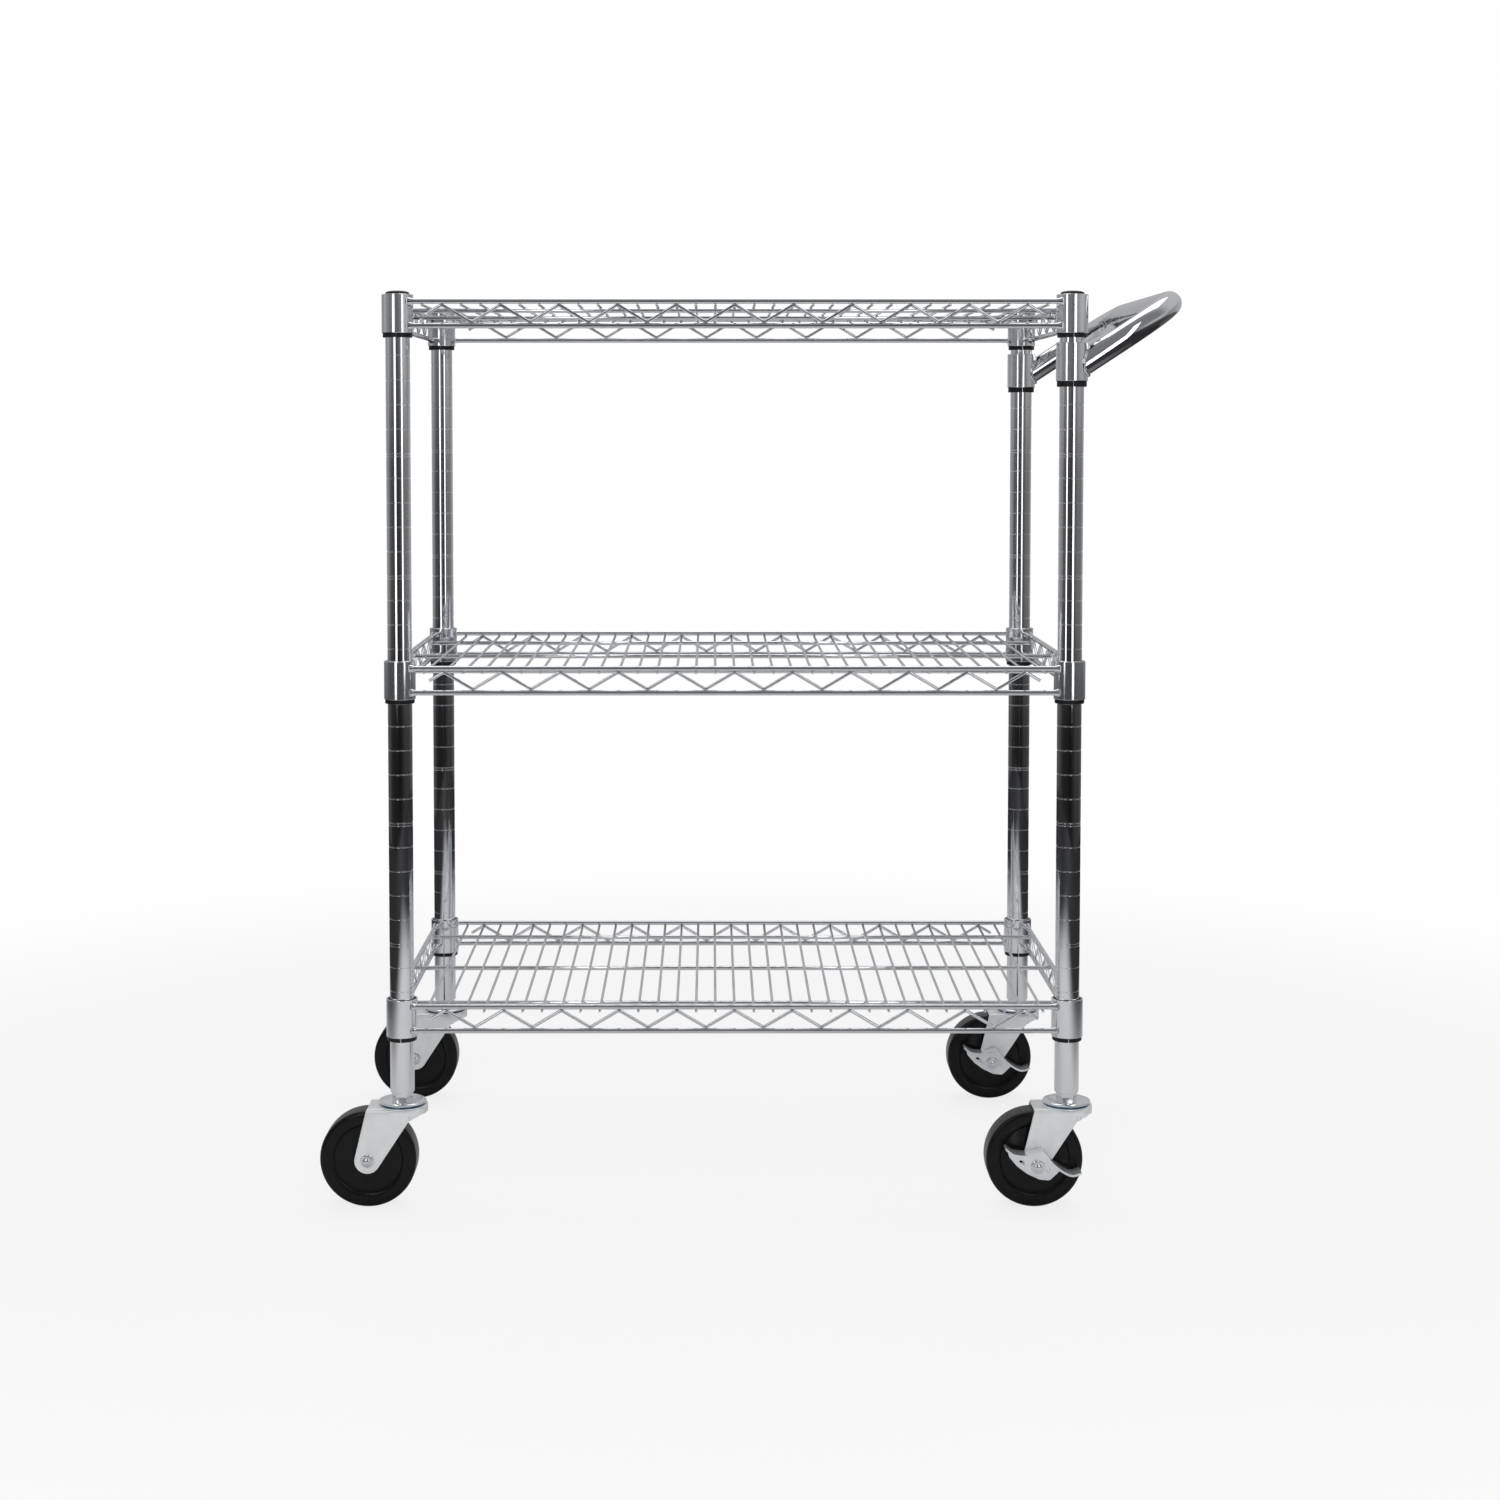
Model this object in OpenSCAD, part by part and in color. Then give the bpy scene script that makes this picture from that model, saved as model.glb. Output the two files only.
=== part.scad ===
// Three-shelf wire cart: four grooved posts, clamped wire shelves, a push handle
// at one end and four swivel casters, two of them with a foot brake.
// Frame: millimetres, +Z up, origin on the floor midway between the four posts,
// +X towards the push handle, -Y the side that carries the brake levers.

/* [Overall size] */
// Post spacing across the width, centre to centre
post_span_x = 700; // [500:1:900]
// Post spacing across the depth, centre to centre
post_span_y = 420; // [340:1:600]
// Height of the top of the posts above the floor
post_top_z = 956.5; // [780:0.5:1250]
// Height of the middle shelf collars' centre
middle_shelf_z = 555; // [420:1:660]
// Height of the bottom shelf collars' centre
bottom_shelf_z = 199; // [190:1:240]

/* [Posts] */
// Outside diameter of a post
post_d = 25.4; // [22:0.1:32]
// Wall of every tube
tube_wall = 1.5; // [1:0.1:2]
// Distance between adjusting grooves
groove_pitch = 25.4; // [20:0.1:30]
// Width of a groove
groove_w = 1.2; // [0.8:0.1:2]
// Depth of a groove
groove_depth = 0.7; // [0.3:0.1:0.9]

/* [Shelves] */
// Height of a collar
collar_h = 40; // [34:0.5:50]
// Space between the post and the outside of a collar, at its top
collar_build = 3.3; // [3:0.1:5]
// Growth of the collar radius from top to bottom
collar_taper = 0.75; // [0.2:0.05:1.5]
// Thickness of a collar wall
collar_wall = 1.5; // [1:0.1:2]
// Diameter of the perimeter wires
rim_d = 5.5; // [4:0.1:7]
// Distance between the upper and lower perimeter wires
rim_gap = 25.3; // [20:0.1:32]
// Distance of the perimeter wires outside the post axes
rim_offset = 10; // [7:0.5:11]
// Diameter of the zigzag wires
zig_d = 3.4; // [2.5:0.1:4.5]
// Diameter of the cross wires
cross_d = 2.8; // [2:0.1:3.5]
// Distance between cross wires
cross_pitch = 20.2; // [16:0.1:26]
// Diameter of the lengthways support wires
rib_d = 4.8; // [3.5:0.1:6]

/* [Handle] */
// Distance from the post axis to the grip axis, along the slope
handle_reach = 134.4; // [110:0.1:180]
// Slope of the handle above the horizontal, in degrees
handle_angle = 33.3; // [20:0.1:45]
// Radius of the two corners
handle_bend = 70; // [45:1:95]
// Height of the handle collars' centre
handle_collar_z = 886.4; // [700:0.1:1180]

/* [Casters] */
// Diameter of a wheel
wheel_d = 101.6; // [76:0.1:127]
// Width of a wheel
wheel_w = 31.75; // [25:0.05:40]
// Distance that the axle trails behind the swivel axis
trail = 35; // [25:0.5:45]
// Diameter of an axle
axle_d = 10; // [8:0.1:12]
// Thickness of the fork's sheet metal
fork_t = 2.5; // [2:0.1:3]

/* [Hidden] */
$fn = 64;

CHROME = [0.82, 0.84, 0.87];
ZINC = [0.72, 0.76, 0.82];
BLACK = [0.07, 0.07, 0.08];

// fits
run_fit = 0.05;      // radial clearance of a shaft that turns
side_gap = 0.3;      // clearance between faces that turn past each other
weld = 0.15;         // depth that one wire sinks into another at a weld

half_x = post_span_x / 2;
half_y = post_span_y / 2;
post_r = post_d / 2;
bore_r = post_r - tube_wall;
FL = [-half_x, -half_y];
FR = [half_x, -half_y];
BL = [-half_x, half_y];
BR = [half_x, half_y];
CORNERS = [FL, FR, BL, BR];

// casters, stacked up from the floor
wheel_r = wheel_d / 2;
axle_r = axle_d / 2;
plate_bottom = wheel_d + 1.6;
plate_top = plate_bottom + fork_t;
race_bottom = plate_top + 2.8;
race_top = race_bottom + 3.5;
nut_top = race_top + 9;
post_bottom = nut_top;
stem_r = 6.35;
kingpin_r = 8;
bearing_r = 21;
race_r = 25;
bush_r = 8;
fork_in = wheel_w / 2 + 2.625;
fork_out = fork_in + fork_t;
cheek_y = 18;
cheek_t = 2;

// posts: an upper and a lower tube meet inside the middle collars
top_shelf_z = post_top_z - 0.5 - collar_h / 2;
joint_z = middle_shelf_z - 7;
upper_first = post_top_z - 13;
lower_first = middle_shelf_z - 22.5;
upper_count = floor((upper_first - joint_z - 6) / groove_pitch) + 1;
lower_count = floor((lower_first - bottom_shelf_z + collar_h / 2 - 12) / groove_pitch) + 1;
double_gap = 2.8;
insert_h = 29;
coupler_h = 60;
cap_h = 3.5;

// collars
collar_top_r = post_r + collar_build;
collar_low_r = collar_top_r + collar_taper;
ring_h = 3.5;
handle_ring_h = 5.9;
sleeve_drop = 3;
slit_w = 1;
handle_top_r = post_r + 3.05;
handle_low_r = post_r + 4.55;

// wires
zig_pitch = 3 * cross_pitch;
rim_z = rim_gap / 2;
zig_amp = rim_z - rim_d / 2 - zig_d / 2 + weld;
knot_r = zig_d / 2 + 0.45;
cross_z = rim_z - rim_d / 2 - cross_d / 2 + weld;
rib_z = cross_z - cross_d / 2 - rib_d / 2 + 2 * weld;
rim_x = half_x + rim_offset;
rim_y = half_y + rim_offset;
tail_room = collar_low_r + zig_pitch / 4 + 4;
zig_n_x = floor((half_x - tail_room) / zig_pitch);
// The side zigzags end early enough for the outer support wires to run clear of the collars
side_room = collar_low_r + zig_pitch / 4 + zig_d / 2 + rib_d + 0.7;
zig_n_y = floor((half_y - side_room) / zig_pitch - 0.5);
cross_n = floor((half_x - collar_low_r - 8) / cross_pitch);
cross_reach = rim_y + rim_d / 2 + 0.25;
rib_y = (zig_n_y + 0.5) * zig_pitch + zig_pitch / 4 + zig_d / 2 + rib_d / 2 - 0.7;
bead_r = rim_d / 2 + 1.2;
bead_l = 6;

// ---------------------------------------------------------------- posts

// Outline of one groove cut into the outside of a post, listed downwards
function notch(z) = [
    [post_r, z + groove_w / 2],
    [post_r - groove_depth, z + groove_w / 2],
    [post_r - groove_depth, z - groove_w / 2],
    [post_r, z - groove_w / 2]
];

// Every fifth groove is a pair
function notches(first, count, pair) = [
    for (k = [0:count - 1])
        let (z = first - k * groove_pitch)
            for (p = (k % 5 == pair) ? concat(notch(z), notch(z - double_gap)) : notch(z)) p
];

module grooved_tube(bottom, top, first, count, pair) {
    color(CHROME)
        rotate_extrude()
            polygon(concat(
                [[bore_r, top], [post_r, top]],
                notches(first, count, pair),
                [[post_r, bottom], [bore_r, bottom]]
            ));
}

module post_upper(at) {
    translate(at)
        grooved_tube(joint_z, post_top_z, upper_first, upper_count, 1);
}

module post_lower(at) {
    translate(at)
        grooved_tube(post_bottom, joint_z, lower_first, lower_count, 0);
}

module post_upper_fl() { post_upper(FL); }
module post_upper_fr() { post_upper(FR); }
module post_upper_bl() { post_upper(BL); }
module post_upper_br() { post_upper(BR); }
module post_lower_fl() { post_lower(FL); }
module post_lower_fr() { post_lower(FR); }
module post_lower_bl() { post_lower(BL); }
module post_lower_br() { post_lower(BR); }

// Rods inside the posts that join the two tubes
module post_couplers() {
    color(ZINC)
        for (at = CORNERS)
            translate([at[0], at[1], joint_z - coupler_h / 2])
                cylinder(r = bore_r, h = coupler_h);
}

// Threaded plugs in the foot of each post, bored for the caster stem
module post_inserts() {
    color(ZINC)
        for (at = CORNERS)
            translate([at[0], at[1], post_bottom])
                rotate_extrude()
                    polygon([[stem_r, 0], [bore_r, 0], [bore_r, insert_h], [stem_r, insert_h]]);
}

// Domed plastic caps pushed into the tops of the posts
module post_caps() {
    color(BLACK)
        for (at = CORNERS)
            translate([at[0], at[1], post_top_z])
                rotate_extrude()
                    polygon([
                        [0, -10], [bore_r, -10], [bore_r, 0], [post_r - 0.3, 0],
                        [post_r - 0.5, cap_h * 0.45], [post_r - 2.2, cap_h * 0.75],
                        [post_r - 6, cap_h * 0.94], [0, cap_h]
                    ]);
}

// ---------------------------------------------------------------- collars and sleeves

// Two plastic half sleeves, with a ring below the collar and a rib that sits in a groove
module split_sleeve(at, mid_z, top_r, low_r, ring, groove_z) {
    function outer(z) = low_r - collar_wall - (low_r - top_r) * (z + collar_h / 2) / collar_h;
    low = -collar_h / 2;
    high = collar_h / 2 - sleeve_drop;
    rib = groove_z - mid_z;
    translate([at[0], at[1], mid_z])
        difference() {
            rotate_extrude()
                polygon([
                    [post_r, low - ring], [low_r - 1, low - ring], [low_r - 1, low],
                    [outer(low), low], [outer(high), high], [post_r, high],
                    [post_r, rib + groove_w / 2 - 0.1], [post_r - groove_depth + 0.2, rib + groove_w / 2 - 0.3],
                    [post_r - groove_depth + 0.2, rib - groove_w / 2 + 0.3], [post_r, rib - groove_w / 2 + 0.1]
                ]);
            cube([slit_w, 4 * post_r, 4 * collar_h], center = true);
        }
}

// The groove that a sleeve centred on height z sits in
function nearest(z, first) = first - round((first - z - 3) / groove_pitch) * groove_pitch;

module shelf_sleeves(mid_z, first) {
    color(BLACK)
        for (at = CORNERS)
            split_sleeve(at, mid_z, collar_top_r, collar_low_r, ring_h, nearest(mid_z, first));
}

module sleeves_top() { shelf_sleeves(top_shelf_z, upper_first); }
module sleeves_middle() { shelf_sleeves(middle_shelf_z, upper_first); }
module sleeves_bottom() { shelf_sleeves(bottom_shelf_z, lower_first); }
module sleeves_handle() {
    color(BLACK)
        for (at = [FR, BR])
            split_sleeve(at, handle_collar_z, handle_top_r, handle_low_r, handle_ring_h,
                nearest(handle_collar_z, upper_first));
}

module collar(at, mid_z, top_r, low_r) {
    translate([at[0], at[1], mid_z - collar_h / 2])
        rotate_extrude()
            polygon([
                [low_r - collar_wall, 0], [low_r, 0],
                [top_r, collar_h], [top_r - collar_wall, collar_h]
            ]);
}

module shelf_collars(mid_z) {
    color(CHROME)
        for (at = CORNERS)
            collar(at, mid_z, collar_top_r, collar_low_r);
}

module top_collars() { shelf_collars(top_shelf_z); }
module middle_collars() { shelf_collars(middle_shelf_z); }
module bottom_collars() { shelf_collars(bottom_shelf_z); }
module handle_collars() {
    color(CHROME)
        for (at = [FR, BR])
            collar(at, handle_collar_z, handle_top_r, handle_low_r);
}

// ---------------------------------------------------------------- wire shelves

// A perimeter wire along X, swelling into a weld bead at each end
module rim_wire(half_length) {
    rotate([0, 90, 0])
        rotate_extrude()
            polygon([
                [0, -half_length], [bead_r, -half_length],
                [rim_d / 2, -half_length + bead_l + 6], [rim_d / 2, half_length - bead_l - 6],
                [bead_r, half_length], [0, half_length]
            ]);
}

// A zigzag along X; first is the distance of the middle peak from the centre, in pitches
module zigzag(n, first) {
    slope = atan(4 * zig_amp / zig_pitch);
    run = sqrt(pow(zig_pitch / 2, 2) + pow(2 * zig_amp, 2));
    peaks = [for (k = [-n:n + 2 * first]) (k - first) * zig_pitch];
    for (x = peaks)
        translate([x, 0, zig_amp])
            sphere(r = knot_r);
    for (i = [0:len(peaks) - 2])
        translate([peaks[i] + zig_pitch / 2, 0, -zig_amp])
            sphere(r = knot_r);
    for (i = [0:len(peaks) - 2]) {
        translate([peaks[i] + zig_pitch / 4, 0, 0])
            rotate([0, 90 + slope, 0])
                cylinder(d = zig_d, h = run, center = true);
        translate([peaks[i] + zig_pitch * 3 / 4, 0, 0])
            rotate([0, 90 - slope, 0])
                cylinder(d = zig_d, h = run, center = true);
    }
    for (s = [-1, 1])
        translate([s * peaks[len(peaks) - 1], 0, zig_amp])
            rotate([0, s * (90 + slope), 0])
                cylinder(d = zig_d, h = run / 2);
}

// One side of a shelf, cut to meet the two collars at its ends
module truss(half_span, n, first) {
    difference() {
        union() {
            for (s = [-1, 1])
                translate([0, 0, s * rim_z])
                    rim_wire(half_span - 5);
            zigzag(n, first);
        }
        for (s = [-1, 1])
            translate([s * half_span, rim_offset, -collar_h / 2])
                cylinder(r1 = collar_low_r, r2 = collar_top_r, h = collar_h);
    }
}

module front_truss(mid_z) {
    color(CHROME)
        translate([0, -rim_y, mid_z])
            truss(half_x, zig_n_x, 0);
}

module back_truss(mid_z) {
    color(CHROME)
        translate([0, rim_y, mid_z])
            rotate([0, 0, 180])
                truss(half_x, zig_n_x, 0);
}

module side_truss(mid_z, side) {
    color(CHROME)
        translate([side * rim_x, 0, mid_z])
            rotate([0, 0, side * 90])
                truss(half_y, zig_n_y, 0.5);
}

// Cross wires on three lengthways ribs; the ribs' ends are welded up to the side wires
module deck(mid_z) {
    short = rim_y - knot_r + weld;
    color(CHROME)
        translate([0, 0, mid_z]) {
            for (k = [-cross_n:cross_n]) {
                reach = (k % 3 == 0 && abs(k) <= 3 * zig_n_x) ? short : cross_reach;
                translate([k * cross_pitch, 0, cross_z])
                    rotate([90, 0, 0])
                        cylinder(d = cross_d, h = 2 * reach, center = true);
            }
            for (y = [-rib_y, 0, rib_y]) {
                translate([0, y, rib_z])
                    rotate([0, 90, 0])
                        cylinder(d = rib_d, h = 2 * (rim_x + 1.2), center = true);
                for (s = [-1, 1])
                    translate([s * rim_x, y, rib_z])
                        cylinder(d = rib_d - 0.6, h = rim_z - rim_d / 2 + 2 * weld - rib_z);
            }
        }
}

module top_front() { front_truss(top_shelf_z); }
module top_back() { back_truss(top_shelf_z); }
module top_left() { side_truss(top_shelf_z, -1); }
module top_right() { side_truss(top_shelf_z, 1); }
module top_deck() { deck(top_shelf_z); }
module middle_front() { front_truss(middle_shelf_z); }
module middle_back() { back_truss(middle_shelf_z); }
module middle_left() { side_truss(middle_shelf_z, -1); }
module middle_right() { side_truss(middle_shelf_z, 1); }
module middle_deck() { deck(middle_shelf_z); }
module bottom_front() { front_truss(bottom_shelf_z); }
module bottom_back() { back_truss(bottom_shelf_z); }
module bottom_left() { side_truss(bottom_shelf_z, -1); }
module bottom_right() { side_truss(bottom_shelf_z, 1); }
module bottom_deck() { deck(bottom_shelf_z); }

// ---------------------------------------------------------------- push handle

module tube_section() {
    difference() {
        circle(r = post_r);
        circle(r = bore_r);
    }
}

// One U-shaped tube on a slope, its ends cut to meet the two handle collars
module handle_tube() {
    start = 6;
    arm = handle_reach - handle_bend;
    color(CHROME)
        difference() {
            translate([half_x, 0, handle_collar_z - 9.8])
                rotate([0, -handle_angle, 0]) {
                    for (s = [-1, 1])
                        translate([start, s * half_y, 0])
                            rotate([0, 90, 0])
                                linear_extrude(height = arm - start)
                                    tube_section();
                    for (s = [-1, 1])
                        translate([arm, s * (half_y - handle_bend), 0])
                            rotate([0, 0, s > 0 ? 0 : -90])
                                rotate_extrude(angle = 90)
                                    translate([handle_bend, 0])
                                        tube_section();
                    translate([handle_reach, half_y - handle_bend, 0])
                        rotate([90, 0, 0])
                            linear_extrude(height = 2 * (half_y - handle_bend))
                                tube_section();
                }
            for (at = [FR, BR])
                translate([at[0], at[1], handle_collar_z - collar_h / 2])
                    cylinder(r1 = handle_low_r, r2 = handle_top_r, h = collar_h);
        }
}

// ---------------------------------------------------------------- casters

// Stem, hex and kingpin forged in one piece; the head below holds the fork up to the race
module caster_stems() {
    color(ZINC)
        for (at = CORNERS)
            translate([at[0], at[1], 0]) {
                translate([0, 0, race_top])
                    cylinder(r = 11.2, h = nut_top - race_top, $fn = 6);
                translate([0, 0, nut_top - 1])
                    cylinder(r = stem_r, h = insert_h + 4);
                translate([0, 0, plate_bottom - side_gap - 1])
                    cylinder(r = kingpin_r, h = race_top - plate_bottom + side_gap + 2);
                translate([0, 0, plate_bottom - side_gap - 3])
                    cylinder(r1 = 9, r2 = 11, h = 3);
            }
}

// Fixed upper race of each swivel
module race_plates() {
    color(ZINC)
        for (at = CORNERS)
            translate([at[0], at[1], race_bottom])
                rotate_extrude()
                    polygon([
                        [kingpin_r, 0], [race_r - 1, 0], [race_r, 0.8], [race_r - 0.4, 2.2],
                        [race_r - 2, race_top - race_bottom], [kingpin_r, race_top - race_bottom]
                    ]);
}

module bearing(at) {
    color([0.28, 0.32, 0.42])
        translate([at[0], at[1], plate_top])
            rotate_extrude()
                polygon([
                    [kingpin_r + 1.5, 0], [bearing_r, 0], [bearing_r + 0.8, 1.2],
                    [bearing_r, race_bottom - plate_top - side_gap],
                    [kingpin_r + 1.5, race_bottom - plate_top - side_gap]
                ]);
}

// Outline of a fork leg, seen from the front, about the swivel axis
module leg_outline() {
    end_r = 13.5;
    lap = end_r - 0.4;
    left = [-trail - 0.6, plate_top];
    knee = [9, plate_top - 9.2];
    axle = [-trail, wheel_r];
    function tangent(p, s) =
        let (d = p - axle, a = atan2(d[1], d[0]) + s * acos(lap / norm(d)))
            axle + lap * [cos(a), sin(a)];
    translate(axle)
        circle(r = end_r);
    polygon([axle, tangent(left, 1), left, [26.3, plate_top], knee, tangent(knee, -1)]);
}

// Sheet-metal fork: a top plate and two tapering legs
module fork(at) {
    color(ZINC)
        translate([at[0], at[1], 0])
            difference() {
                union() {
                    for (s = [-1, 1])
                        translate([0, s * (fork_in + fork_t / 2) + fork_t / 2, 0])
                            rotate([90, 0, 0])
                                linear_extrude(height = fork_t)
                                    leg_outline();
                    translate([-trail - 3.8, -fork_in - 0.5, plate_bottom])
                        cube([trail + 30.1, 2 * fork_in + 1, fork_t]);
                }
                translate([0, 0, plate_bottom - 5])
                    cylinder(r = kingpin_r + run_fit, h = fork_t + 10);
                translate([-trail, 0, wheel_r])
                    rotate([90, 0, 0])
                        cylinder(r = axle_r, h = 4 * fork_out, center = true);
            }
}

// Axle bolt with a hex head behind and a dome nut in front; a braked caster's
// axle runs on through a spacer to carry the lever
module axle(at, braked) {
    lever_y = braked ? fork_out + cheek_y + cheek_t + side_gap : fork_out;
    color(ZINC)
        translate([at[0] - trail, at[1], wheel_r]) {
            rotate([90, 0, 0])
                rotate_extrude()
                    polygon(concat(
                        [[0, -fork_out - 3], [axle_r, -fork_out - 3]],
                        braked ? [
                            [axle_r, fork_out], [7.5, fork_out],
                            [7.5, fork_out + cheek_y - side_gap], [axle_r, fork_out + cheek_y - side_gap]
                        ] : [],
                        [
                            [axle_r, lever_y], [7, lever_y], [7, lever_y + 1.4], [6, lever_y + 1.4],
                            [6, lever_y + 3.4], [4.6, lever_y + 4.8], [2.4, lever_y + 5.6], [0, lever_y + 5.8]
                        ]
                    ));
            translate([0, fork_out + 5, 0])
                rotate([90, 0, 0])
                    cylinder(r = 8, h = 5, $fn = 6);
        }
}

module wheel(at) {
    w = wheel_w / 2;
    color(BLACK)
        translate([at[0] - trail, at[1], wheel_r])
            rotate([90, 0, 0])
                rotate_extrude()
                    polygon([
                        [bush_r, -w - 1.2], [14, -w - 1.2], [15.5, -w + 3.6], [35, -w + 3.2],
                        [37, -w + 1], [43, -w], [wheel_r - 3.2, -w + 0.3], [wheel_r - 1, -w + 1.7],
                        [wheel_r, -w + 4.5], [wheel_r, w - 4.5], [wheel_r - 1, w - 1.7],
                        [wheel_r - 3.2, w - 0.3], [43, w], [37, w - 1],
                        [35, w - 3.2], [15.5, w - 3.6], [14, w + 1.2], [bush_r, w + 1.2]
                    ]);
}

// Steel bush pressed into a wheel, turning on the axle
module bush(at) {
    color(ZINC)
        translate([at[0] - trail, at[1], wheel_r])
            rotate([90, 0, 0])
                translate([0, 0, -fork_in + side_gap])
                    rotate_extrude()
                        polygon([
                            [axle_r + run_fit, 0], [bush_r, 0],
                            [bush_r, 2 * (fork_in - side_gap)], [axle_r + run_fit, 2 * (fork_in - side_gap)]
                        ]);
}

// Foot lever: a cheek that turns on the axle, and a wavy pedal folded back from it
module brake(at) {
    pedal = [[-32, 18.6], [-24, 13], [-10.7, 11.5], [-3, 13], [4.9, 15.5],
        [9, 12], [15.2, 4.8], [24, -2.8], [35.6, -8.6], [45.5, -5.9]];
    under = [[45.1, -8.1], [35.4, -10.9], [23, -4.6], [13.8, 3.3],
        [7.8, 10.2], [4.4, 13.2], [-2.6, 10.8], [-10.8, 9.3], [-24.6, 10.9], [-31.4, 15.6]];
    cheek = [[-32, 18.6], [-24, 13], [-10.7, 11.5], [-3, 13], [4.9, 15.5], [9, 12], [15.2, 4.8],
        [24, -2.8], [23, -4.8], [12.5, -14.4], [1.8, -13.4], [-10.7, -7.6], [-21.4, 0.3], [-29.8, 10.2]];
    color(ZINC)
        translate([at[0] - trail, at[1] - fork_out, wheel_r])
            rotate([90, 0, 0])
                difference() {
                    union() {
                        translate([0, 0, 0.5])
                            linear_extrude(height = cheek_y + cheek_t - 0.5)
                                polygon(concat(pedal, under));
                        translate([0, 0, cheek_y])
                            linear_extrude(height = cheek_t)
                                polygon(cheek);
                    }
                    translate([0, 0, cheek_y - 3])
                        cylinder(r = axle_r + run_fit, h = cheek_t + 6);
                    translate([-16.5, 5.2, cheek_y - 3])
                        rotate([0, 0, -15])
                            cube([5.5, 2.5, 12], center = true);
                }
}

module fork_fl() { fork(FL); }
module fork_fr() { fork(FR); }
module fork_bl() { fork(BL); }
module fork_br() { fork(BR); }
module bearing_fl() { bearing(FL); }
module bearing_fr() { bearing(FR); }
module bearing_bl() { bearing(BL); }
module bearing_br() { bearing(BR); }
module axle_fl() { axle(FL, false); }
module axle_fr() { axle(FR, true); }
module axle_bl() { axle(BL, false); }
module axle_br() { axle(BR, true); }
module wheel_fl() { wheel(FL); }
module wheel_fr() { wheel(FR); }
module wheel_bl() { wheel(BL); }
module wheel_br() { wheel(BR); }
module bush_fl() { bush(FL); }
module bush_fr() { bush(FR); }
module bush_bl() { bush(BL); }
module bush_br() { bush(BR); }
module brake_fr() { brake(FR); }
module brake_br() { brake(BR); }

post_upper_fl();
post_upper_fr();
post_upper_bl();
post_upper_br();
post_lower_fl();
post_lower_fr();
post_lower_bl();
post_lower_br();
post_couplers();
post_inserts();
post_caps();
sleeves_top();
sleeves_middle();
sleeves_bottom();
sleeves_handle();
top_collars();
top_front();
top_back();
top_left();
top_right();
top_deck();
middle_collars();
middle_front();
middle_back();
middle_left();
middle_right();
middle_deck();
bottom_collars();
bottom_front();
bottom_back();
bottom_left();
bottom_right();
bottom_deck();
handle_collars();
handle_tube();
caster_stems();
race_plates();
fork_fl();
fork_fr();
fork_bl();
fork_br();
bearing_fl();
bearing_fr();
bearing_bl();
bearing_br();
axle_fl();
axle_fr();
axle_bl();
axle_br();
wheel_fl();
wheel_fr();
wheel_bl();
wheel_br();
bush_fl();
bush_fr();
bush_bl();
bush_br();
brake_fr();
brake_br();
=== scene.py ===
"""Looks of the wire shelf cart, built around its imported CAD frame."""

import math

import bmesh
import bpy
from mathutils import Matrix, Vector


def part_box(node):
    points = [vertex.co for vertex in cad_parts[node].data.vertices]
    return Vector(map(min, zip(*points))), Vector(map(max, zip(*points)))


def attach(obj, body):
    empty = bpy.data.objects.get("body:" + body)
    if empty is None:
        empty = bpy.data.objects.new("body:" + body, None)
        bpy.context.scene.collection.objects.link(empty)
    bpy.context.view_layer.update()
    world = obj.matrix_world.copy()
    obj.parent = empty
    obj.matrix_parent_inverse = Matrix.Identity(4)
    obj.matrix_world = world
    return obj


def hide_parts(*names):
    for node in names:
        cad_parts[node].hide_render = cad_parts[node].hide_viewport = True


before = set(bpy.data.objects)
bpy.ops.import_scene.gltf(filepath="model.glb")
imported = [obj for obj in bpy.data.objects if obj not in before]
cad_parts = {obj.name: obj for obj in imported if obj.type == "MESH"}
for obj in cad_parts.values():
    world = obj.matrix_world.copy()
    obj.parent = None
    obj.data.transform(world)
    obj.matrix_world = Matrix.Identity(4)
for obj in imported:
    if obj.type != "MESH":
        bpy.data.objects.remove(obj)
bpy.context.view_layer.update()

CORNERS = ("fl", "fr", "bl", "br")
BRAKED = ("fr", "br")
SHELVES = ("top", "middle", "bottom")
MM = 0.001
TINY = 1e-9

# Posts: the first and last grooves are measured from the ends of each tube
POST_R = 12.7 * MM
POST_WALL = 1.5 * MM
GROOVE_PITCH = 25.4 * MM
GROOVE_HALF = 0.5 * MM
GROOVE_DEPTH = 0.6 * MM
GROOVE_LIP = 0.1 * MM
PAIR_EVERY = 5
PAIR_GAP = 2.8 * MM
UPPER_START, UPPER_END = 13 * MM, 6 * MM
LOWER_START, LOWER_END = 15.5 * MM, 8 * MM

# Collars: how far they stand off the post, and the height of the black ring below
COLLAR_WALL = 1.5 * MM
COLLAR_EDGE = 0.45 * MM
COLLAR_H = 40 * MM
SHELF_COLLAR = (3.7 * MM, 4.5 * MM)
HANDLE_COLLAR = (3.8 * MM, 5.9 * MM)
SLEEVE_SHORT = 3 * MM
SLEEVE_GAP = 2.2

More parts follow.
